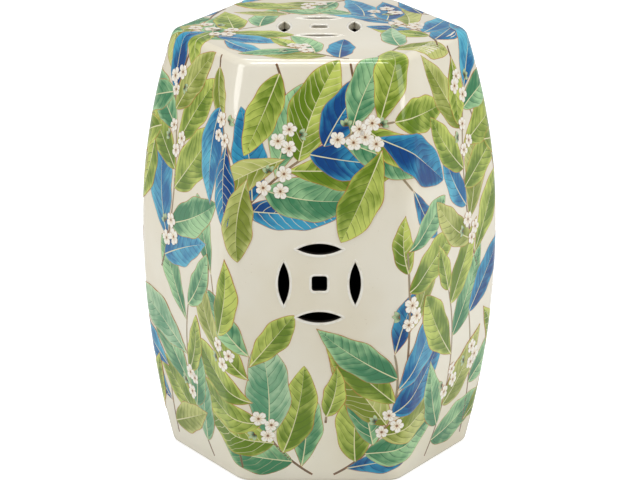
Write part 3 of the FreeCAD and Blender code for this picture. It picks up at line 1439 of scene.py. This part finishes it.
@dataclass
class Foliage:
    """The painted branches of the stool: leaves, twigs, blossoms and buds."""

    front: tuple[Spray, ...] = (
        Spray(-0.05, 9, -58, 175, 70, 13, 108, GREENS, (0.45,)),
        Spray(-0.47, 290, 34, 200, 44, 13, 112, MIXED, (0.3, 0.75)),
        Spray(0.10, 9, 62, 165, -74, 12, 110, BLUES, (0.5,)),
        Spray(0.22, 452, 172, 150, -36, 11, 108, BLUES, (0.5,)),
        Spray(-0.30, 452, 160, 130, 40, 9, 100, GREENS, (0.6,)),
        Spray(0.50, 110, 2, 235, -10, 11, 104, GREENS, (0.35, 0.85)),
        Spray(-0.50, 16, -4, 215, -12, 10, 100, BLUES, (0.6,)),
        Spray(0.04, 70, 4, 90, 30, 7, 84, MIXED, (0.3,)),
        Spray(0.02, 318, 40, 110, 40, 8, 92, GREENS, (0.2,)),
    )
    sides: tuple[Spray, ...] = (
        Spray(-0.16, 12, 28, 215, -56, 11, 108, GREENS, (0.4,)),
        Spray(0.26, 200, -30, 200, 56, 10, 108, MIXED, (0.25, 0.75)),
        Spray(-0.24, 452, -166, 160, 40, 8, 104, BLUES, (0.5,)),
        Spray(0.34, 16, 2, 170, -22, 8, 104, BLUES, (0.55,)),
        Spray(0.18, 448, 172, 140, -30, 7, 100, GREENS, (0.3,)),
    )
    seat: tuple[Spray, ...] = (
        Spray(-128, -52, 48, 150, 58, 10, 84, GREENS, (0.3, 0.7), Ground.SEAT),
        Spray(122, -60, -22, 150, -50, 10, 86, BLUES, (0.5,), Ground.SEAT),
        Spray(40, 128, -120, 150, -42, 10, 84, GREENS, (0.4,), Ground.SEAT),
        Spray(118, 58, -70, 120, -40, 9, 78, MIXED, (0.4,), Ground.SEAT),
        Spray(-100, 84, -150, 140, -60, 9, 80, BLUES, (0.6,), Ground.SEAT),
        Spray(30, -128, -64, 130, 40, 9, 74, MIXED, (0.5,), Ground.SEAT),
        Spray(60, -118, 40, 90, -40, 7, 70, GREENS, (), Ground.SEAT),
    )
    side_order: tuple[int, ...] = (1, 5, 2, 4, 3)
    mirrored_sides: tuple[int, ...] = (2, 5)
    shifted_heights: Range = (100, 400)
    calm: Range = (0.074, 0.034)
    foot_margin: float = 0.0055
    hole_margin: float = 0.0026
    over_seat_joint: float = 0.006
    before_axis: float = 0.12
    most_overlap: float = 0.56
    most_layers: int = 7
    elbow_room: float = 0.0015
    least_agreement: float = 0.95
    shoulder_start: float = 0.44
    first_leaf: float = 0.08
    least_size: float = 0.74
    stem_half_width: float = 0.0013
    stem_steps: int = 60
    attempts: int = 7
    cluster: int = 4
    bud_turns: tuple[float, ...] = (-0.7, 0.1, 0.9)
    bud_length: float = 0.0085
    bud_half_width: float = 0.0026
    bud_bend: float = 0.2
    petals: int = 5
    petal_plumpness: float = 0.40
    rim_points: int = 10
    small_layer: int = 9
    seat_margin: float = 0.006
    seat_apothem: float = 0.13
    seed: int = 41
    placed: list[Blade] = field(default_factory=list)
    small: list[Blade] = field(default_factory=list)
    spots: list[Array] = field(default_factory=list)
    reaches: list[Array] = field(default_factory=list)

    def clear(self, points: Array) -> bool:
        """Whether points keep off the piercings and the foot.

        Args:
            points: Points on the skin.

        Returns:
            True if all of them do.
        """
        if np.min(points[:, 2]) < self.foot_margin:
            return False
        for panel in Panel:
            to_panel = np.array(panel.value.inverted())
            flat = (np.c_[points, np.ones(len(points))] @ to_panel.T)[:, :3]
            outward = self.over_seat_joint if panel is Panel.SEAT else self.before_axis
            near = flat[flat[:, 2] > outward]
            if panel is Panel.FRONT and len(near):
                if np.any(np.all(np.abs(near[:, :2]) < self.calm, axis=1)):
                    return False
            if len(near) and np.min(MOTIF.clearance(near[:, 0], near[:, 1])) < self.hole_margin:
                return False
        return True

    def overlap(self, points: Array) -> tuple[float, int]:
        """How much of a shape lies on others.

        Args:
            points: Points all over the shape.

        Returns:
            The share that lies on others, and the highest layer it lies on.
        """
        if not self.spots:
            return 0.0, -1
        spots, reaches = np.array(self.spots), np.array(self.reaches)
        gaps = np.linalg.norm(points[:, None, None] - spots[None], axis=-1)
        covered = np.any(gaps < reaches[None], axis=2)
        touched = np.nonzero(np.any(covered, axis=0))[0]
        layers = [self.placed[index].layer for index in touched]
        return float(np.mean(np.any(covered, axis=1))), max(layers, default=-1)

    def place(self, blade: Blade, lattice: Array) -> bool:
        """Place a leaf if there is room for it.

        Args:
            blade: The leaf.
            lattice: A few points all over it, by row and column.

        Returns:
            True if it was placed.
        """
        rows, columns = lattice.shape[:2]
        points = lattice.reshape(-1, 3)
        share, below = self.overlap(points)
        if share > self.most_overlap or below > self.most_layers or not self.clear(points):
            return False
        blade.layer = below + 1
        widths = blade.half_width * blade.outline.share(np.linspace(0, 1, rows), 0)
        self.spots.append(lattice[:, columns // 2])
        self.reaches.append(widths + self.elbow_room)
        blade.bent = self.bends(points)
        self.placed.append(blade)
        return True

    def bends(self, points: Array) -> bool:
        """Whether a shape goes over the shoulder or an arris, where it needs a finer grid.

        Args:
            points: Points all over the shape.

        Returns:
            True if it does.
        """
        normals = FORM.normal(points)
        agreement, top = np.min(normals @ normals.T), np.max(points[:, 2])
        return bool(agreement < self.least_agreement or top > self.shoulder_start)

    def tried(
        self,
        spray: Spray,
        number: int,
        share: float,
        point: Array,
        heading: Array,
        luck: np.random.Generator,
    ) -> list[Blade]:
        """Several forms of one leaf, each a little shorter than the last.

        Args:
            spray: The branch.
            number: Which leaf of the branch, from its base.
            share: How far along the branch it springs.
            point: Where it springs.
            heading: Which way the branch runs there.
            luck: The seeded source of small differences.

        Returns:
            The forms, of which the first that has room is kept.
        """
        last = number == spray.leaves - 1
        way = (-1) ** number
        fullness = math.sin(math.pi * (0.25 + 0.6 * share))
        size = spray.longest * (self.least_size + (1 - self.least_size) * fullness)
        outlines = (Outline.LANCE, Outline.OVAL, Outline.PADDLE)
        forms = []
        for attempt in range(self.attempts):
            spread = luck.uniform(*(CHANCES.off_tip if last else CHANCES.off_twig))
            spread = spread * (1 if last else way) + luck.uniform(*CHANCES.stray) * attempt / 3
            length = size * luck.uniform(*CHANCES.leaf_length) * (1 - 0.06 * attempt) * MM
            aim = veered(point, heading, math.radians(spread))
            bend = -way * math.radians(luck.uniform(*CHANCES.curl)) + luck.uniform(*CHANCES.tremor)
            half_width = length * luck.uniform(*CHANCES.plumpness)
            outline = outlines[int(luck.integers(len(outlines)))]
            paint = spray.paints[(number + int(luck.integers(2))) % len(spray.paints)]
            stroke, tone = Stroke(point, aim, length, bend), float(luck.uniform())
            forms.append(Blade(stroke, half_width, outline, paint, tone))
        return forms

    def grow(self, spray: Spray, luck: np.random.Generator) -> None:
        """Paint one branch with its leaves, blossoms and buds.

        Args:
            spray: The branch.
            luck: The seeded source of small differences.
        """
        start, heading = spray.ground.start(spray.first, spray.second, spray.heading)
        twig = Stroke(start, heading, spray.length * MM, math.radians(spray.bend))
        steps = self.stem_steps
        points, headings = strode(start, heading, twig.length / steps, twig.bend / steps, steps)
        kept = 0
        for number in range(spray.leaves):
            share = self.first_leaf + (1 - self.first_leaf) * number / (spray.leaves - 1)
            index = min(steps, round(share * steps))
            leaves = self.tried(spray, number, share, points[index], headings[index], luck)
            lattices, _ = traced(leaves, *ROUGH_GRID)
            if any(self.place(leaf, lattice) for leaf, lattice in zip(leaves, lattices)):
                kept = index
        if kept == 0:
            return
        stem = Stroke(start, heading, twig.length * kept / steps, twig.bend * kept / steps)
        drawn = self.clear(points[: kept + 1])
        if drawn:
            bent, width = self.bends(points[: kept + 1]), self.stem_half_width
            self.small.append(Blade(stem, width, Outline.TWIG, Paint.BARK, plain=True, bent=bent))
        for share in spray.blossoms:
            index = round(share * steps)
            before = len(self.small)
            self.bloom(points[index], headings[index], luck)
            if not drawn or index > kept:
                del self.small[before:]

    def bloom(self, middle: Array, heading: Array, luck: np.random.Generator) -> None:
        """Paint a few blossoms and buds round a place on a branch.

        Args:
            middle: The place.
            heading: Which way the branch runs there.
            luck: The seeded source of small differences.
        """
        turns = ring_turns(self.cluster) + luck.uniform(*CHANCES.bloom_turn, self.cluster)
        gaps = luck.uniform(*CHANCES.bloom_gap, self.cluster)
        for number, (centre, aim) in enumerate(zip(*spokes(middle, heading, gaps, turns))):
            size = luck.uniform(*CHANCES.bloom_size)
            if not self.clear(spokes(centre, aim, size, ring_turns(self.rim_points))[0]):
                continue
            if number == self.cluster - 1:
                look = (Outline.BUD, Paint.BUD, 0.5, self.small_layer, True)
                for turn in self.bud_turns:
                    aimed = veered(centre, aim, turn)
                    stroke = Stroke(centre, aimed, self.bud_length, self.bud_bend)
                    self.small.append(Blade(stroke, self.bud_half_width, *look))
                continue
            for petal in range(self.petals):
                aimed = veered(centre, aim, math.tau * petal / self.petals)
                length = size * luck.uniform(*CHANCES.petal_length)
                stroke = Stroke(centre, aimed, length, luck.uniform(*CHANCES.petal_bend))
                layer = self.small_layer + petal % 3
                look = (Outline.PETAL, Paint.CREAM, float(luck.uniform()), layer, True)
                self.small.append(Blade(stroke, size * self.petal_plumpness, *look))

    def region(self, blade: Blade) -> str:
        """The name of the face that a shape lies on.

        Args:
            blade: The shape, which is looked up a third of the way along.

        Returns:
            The face's name.
        """
        x, y, z = walk(blade.stroke.start, blade.stroke.heading, blade.stroke.length * 0.3)[0]
        if z > FORM.height - self.seat_margin and hexagon(x, y, self.seat_apothem) < 0.0:
            return "seat"
        side = round(math.atan2(x, -y) / SIDE_TURN) % SIDES
        return ("front", "front_right", "back_right", "back", "back_left", "front_left")[side]

    def build(self) -> None:
        """Lay out every branch, then build the leaves and the sprigs face by face."""
        luck = np.random.default_rng(self.seed)
        for spray in (*self.front, *self.seat):
            self.grow(spray, luck)
        low, high = self.shifted_heights
        for side in self.side_order:
            for spray in self.sides:
                shift = luck.uniform(*CHANCES.shift) if low < spray.second < high else 0.0
                self.grow(spray.turned(side, side in self.mirrored_sides, shift), luck)
        leaf, bloom, bark = LeafEnamel().make(), BlossomEnamel().make(), TwigEnamel().make()
        sheets: dict[str, Sheet] = {}
        for kind, blades in (("leaves", self.placed), ("sprigs", self.small)):
            for steps, shares in sorted({blade.grid for blade in blades}):
                alike = [blade for blade in blades if blade.grid == (steps, shares)]
                for blade, lattice, widths in zip(alike, *traced(alike, steps, shares)):
                    sheet = sheets.setdefault(f"{self.region(blade)}_{kind}", Sheet())
                    sheet.add(blade, lattice, widths)
        for name, sheet in sheets.items():
            sheet.finish(name, (leaf,) if name.endswith("leaves") else (bloom, bark))
        log.info("painted %d leaves and %d small shapes", len(self.placed), len(self.small))


@dataclass(frozen=True)
class LeafEnamel:
    """Watercolour enamel of a leaf: washes, a pale midrib, side veins and a gilt-brown outline."""

    rib: Colour = linear(232, 226, 180)
    gilt: Colour = linear(184, 118, 56)
    rib_width: float = 0.62
    vein_width: float = 0.34
    vein_spacing: float = 10.5
    outline_width: float = 0.92

    def make(self) -> bpy.types.Material:
        """Wire the enamel.

        Returns:
            The material.
        """
        finish = Finish("leaf_enamel")
        names = ("along", "across", "edge", "share", "tone")
        along, across, edge, share, tone = (finish.mark(name) for name in names)
        side = finish.sum("ABSOLUTE", across)
        way = finish.sum("SIGN", across)
        wobble = finish.sum("MULTIPLY", finish.noise(55.0, 2.0), 7.0)
        swept = finish.sum("SUBTRACT", along, finish.sum("MULTIPLY", side, 0.6))
        bowed = finish.sum("MULTIPLY", finish.sum("MULTIPLY", side, side), 0.034)
        phase = finish.sum("SUBTRACT", finish.sum("ADD", swept, wobble), bowed)
        half_step = finish.sum("MULTIPLY", way, 0.24)
        step = finish.sum("ADD", finish.sum("DIVIDE", phase, self.vein_spacing), half_step)
        part = finish.sum("FRACT", finish.sum("ADD", step, 20.0))
        from_vein = finish.sum("MULTIPLY", finish.sum("PINGPONG", part, 0.5), self.vein_spacing)
        stretched = ((step, 1.6), (side, 0.07), (tone, 30.0))
        fan = finish.triple(*(finish.sum("MULTIPLY", *pair) for pair in stretched))
        streaks = finish.noise(1.0, 3.0, fan)
        cloud = finish.noise(34.0, 3.0)
        pale = finish.sum("MULTIPLY", part, 0.2)
        pale = finish.sum("ADD", pale, finish.stretch(streaks, 0.3, 0.7, -0.08, 0.14))
        pale = finish.sum("ADD", pale, finish.stretch(cloud, 0.3, 0.7, -0.2, 0.36))
        lit_half = finish.sum("MULTIPLY", way, finish.stretch(tone, 0.0, 1.0, -0.2, 0.26))
        pale = finish.sum("ADD", pale, lit_half)
        pale = finish.sum("ADD", pale, finish.stretch(edge, 0.0, 6.5, 0.42, 0.0))
        pale = finish.sum("ADD", pale, finish.stretch(share, 0.0, 0.55, -0.26, 0.06))
        wash = finish.stretch(pale, -0.16, 0.84)
        colour = finish.washed(wash)
        vein = finish.stretch(from_vein, self.vein_width * 0.5, self.vein_width * 1.8, 1.0, 0.0)
        vein = finish.sum("MULTIPLY", vein, finish.stretch(edge, 0.6, 2.4, 0.0, 0.75))
        deep = finish.mix(0.62, finish.mark("shade", "Color"), (0.01, 0.02, 0.01))
        drawn = finish.mix(finish.stretch(tone, 0.88, 0.9), deep, self.rib)
        colour = finish.mix(vein, colour, drawn)
        taper = finish.stretch(share, 0.0, 0.94, self.rib_width, 0.05)
        rib = finish.stretch(finish.sum("DIVIDE", side, taper), 0.7, 1.25, 1.0, 0.0)
        colour = finish.mix(finish.sum("MULTIPLY", rib, 0.92), colour, self.rib)
        brush = finish.stretch(finish.noise(170.0, 1.0), 0.25, 0.6, 0.35, 1.0)
        line = finish.stretch(edge, self.outline_width * 0.5, self.outline_width, 0.95, 0.0)
        colour = finish.mix(finish.sum("MULTIPLY", line, brush), colour, self.gilt)
        finish.set(Base_Color=colour, IOR=1.4, Coat_Weight=0.1, Coat_Roughness=0.05)
        finish.set(Roughness=finish.stretch(cloud, 0.3, 0.7, 0.08, 0.15))
        streaked = finish.sum("MULTIPLY", streaks, 0.4)
        relief = finish.sum("ADD", finish.sum("MULTIPLY", rib, 0.6), streaked)
        finish.bump(relief, 0.00008, 0.5)
        return finish.material


@dataclass(frozen=True)
class BlossomEnamel:
    """Cream enamel of petals and buds, gilt at the margin and brown-gold in the eye."""

    gilt: Colour = linear(186, 134, 84)
    eye: Colour = linear(126, 78, 36)

    def make(self) -> bpy.types.Material:
        """Wire the enamel.

        Returns:
            The material.
        """
        finish = Finish("blossom_enamel")
        names = ("along", "across", "edge", "share")
        along, across, edge, share = (finish.mark(name) for name in names)
        wash = finish.stretch(share, 0.15, 0.6)
        colour = finish.washed(wash)
        crease = finish.stretch(finish.sum("ABSOLUTE", across), 0.1, 0.4, 0.45, 0.0)
        crease = finish.sum("MULTIPLY", crease, finish.stretch(share, 0.5, 0.8, 1.0, 0.0))
        colour = finish.mix(crease, colour, self.gilt)
        brush = finish.stretch(finish.noise(300.0, 1.0), 0.3, 0.6, 0.4, 0.9)
        line = finish.stretch(edge, 0.2, 0.45, 1.0, 0.0)
        colour = finish.mix(finish.sum("MULTIPLY", line, brush), colour, self.gilt)
        colour = finish.mix(finish.stretch(along, 0.9, 1.7, 0.95, 0.0), colour, self.eye)
        finish.set(Base_Color=colour, Roughness=0.14, IOR=1.5, Coat_Weight=0.5, Coat_Roughness=0.05)
        finish.bump(finish.noise(500.0, 1.0), 0.00005)
        return finish.material


@dataclass(frozen=True)
class TwigEnamel:
    """Grey-brown enamel of the twigs, pale on one side, with dark knots."""

    knot: Colour = linear(58, 46, 34)

    def make(self) -> bpy.types.Material:
        """Wire the enamel.

        Returns:
            The material.
        """
        finish = Finish("twig_enamel")
        bark = finish.noise(260.0, 3.0)
        lit = finish.stretch(finish.mark("across"), -0.9, 0.9, 0.9, 0.0)
        lit = finish.sum("ADD", lit, finish.sum("MULTIPLY", bark, 0.3))
        colour = finish.washed(lit)
        knots = finish.stretch(finish.noise(120.0, 1.0), 0.6, 0.66, 0.0, 0.7)
        colour = finish.mix(knots, colour, self.knot)
        finish.set(Base_Color=colour, Roughness=0.16, IOR=1.5, Coat_Weight=0.5, Coat_Roughness=0.05)
        finish.bump(bark, 0.00006)
        return finish.material


@dataclass(frozen=True)
class Studio:
    """The camera, the lamps, the pale world and the floor."""

    lens: float = 254.8
    target_height: float = 0.2228
    distance: float = 4.818
    elevation: float = math.radians(16.89)
    shift: float = 0.00088
    sensor: float = 36.0
    farthest: float = 50.0
    world_strength: float = 0.42
    floor_half: float = 12.0
    floor_drop: float = 0.0002

    def camera(self) -> None:
        """Stand the camera where the photograph was taken from."""
        eye = bpy.data.cameras.new("camera")
        eye.lens = self.lens
        eye.sensor_width = self.sensor
        eye.shift_x = self.shift
        eye.clip_end = self.farthest
        holder = linked("camera", eye)
        back = -self.distance * math.cos(self.elevation)
        rise = self.distance * math.sin(self.elevation)
        holder.location = (0, back, self.target_height + rise)
        holder.rotation_euler = (math.pi / 2 - self.elevation, 0, 0)
        bpy.context.scene.camera = holder

    def lamp(self, name: str, place: tuple, size: tuple, power: float) -> None:
        """Hang a soft lamp that faces the stool.

        Args:
            name: The lamp's name.
            place: Where it hangs.
            size: Its width and height.
            power: Its strength in watts.
        """
        glow = bpy.data.lights.new(name, "AREA")
        glow.shape = "RECTANGLE"
        glow.size, glow.size_y = size
        glow.energy = power
        holder = linked(name, glow)
        holder.location = place
        aim = Vector((0, 0, self.target_height)) - Vector(place)
        holder.rotation_euler = aim.to_track_quat("-Z", "Y").to_euler()

    def world(self) -> None:
        """Surround the stool with soft light that looks white behind it."""
        world = bpy.data.worlds.new("studio")
        bpy.context.scene.world = world
        world.use_nodes = True
        tree = world.node_tree
        light = tree.nodes.new("ShaderNodeLightPath")
        seen = tree.nodes.new("ShaderNodeMath")
        seen.operation = "MAXIMUM"
        tree.links.new(light.outputs["Is Camera Ray"], seen.inputs[0])
        tree.links.new(light.outputs["Is Transmission Ray"], seen.inputs[1])
        strength = tree.nodes.new("ShaderNodeMapRange")
        strength.inputs["To Min"].default_value = self.world_strength
        strength.inputs["To Max"].default_value = 1.0
        tree.links.new(seen.outputs[0], strength.inputs["Value"])
        tree.links.new(strength.outputs[0], tree.nodes["Background"].inputs["Strength"])
        tree.nodes["Background"].inputs["Color"].default_value = (1, 1, 1, 1)

    def floor(self) -> None:
        """Lay the white floor, which keeps the stool's shadow."""
        sheet = bmesh.new()
        bmesh.ops.create_grid(sheet, x_segments=1, y_segments=1, size=self.floor_half)
        bmesh.ops.translate(sheet, verts=sheet.verts, vec=(0, 0, -self.floor_drop))
        finish = Finish("studio_floor")
        finish.set(Base_Color=(0.9, 0.9, 0.9), Roughness=0.9, Specular_IOR_Level=0.1)
        light = finish.tree.nodes.new("ShaderNodeLightPath")
        finish.set(Emission_Color=(1.0, 1.0, 1.0))
        seen = finish.sum("MULTIPLY", light.outputs["Is Camera Ray"], 0.6)
        finish.set(Emission_Strength=seen)
        mesh = mesh_of(sheet, "floor")
        mesh.materials.append(finish.material)
        floor = linked("floor", mesh)

    def build(self) -> None:
        """Set up the whole studio."""
        bpy.context.scene.view_settings.view_transform = "Standard"
        self.camera()
        self.world()
        self.floor()
        self.lamp("left_window", (-2.9, -0.9, 1.6), (1.6, 1.8), 30.0)
        self.lamp("right_window", (2.9, -0.9, 1.6), (1.6, 1.8), 33.0)
        self.lamp("overhead", (0.0, -0.4, 2.8), (1.7, 0.4), 28.0)
        self.lamp("rear_window", (0.0, 2.3, 2.9), (1.4, 1.0), 14.0)


def main() -> None:
    """Build the stool, its painting and the studio, and report each piece."""
    logging.basicConfig(level=logging.INFO, format="%(name)s: %(message)s")
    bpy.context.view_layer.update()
    Studio().build()
    StoolBody().build()
    Foliage().build()


if __name__ == "__main__":
    main()
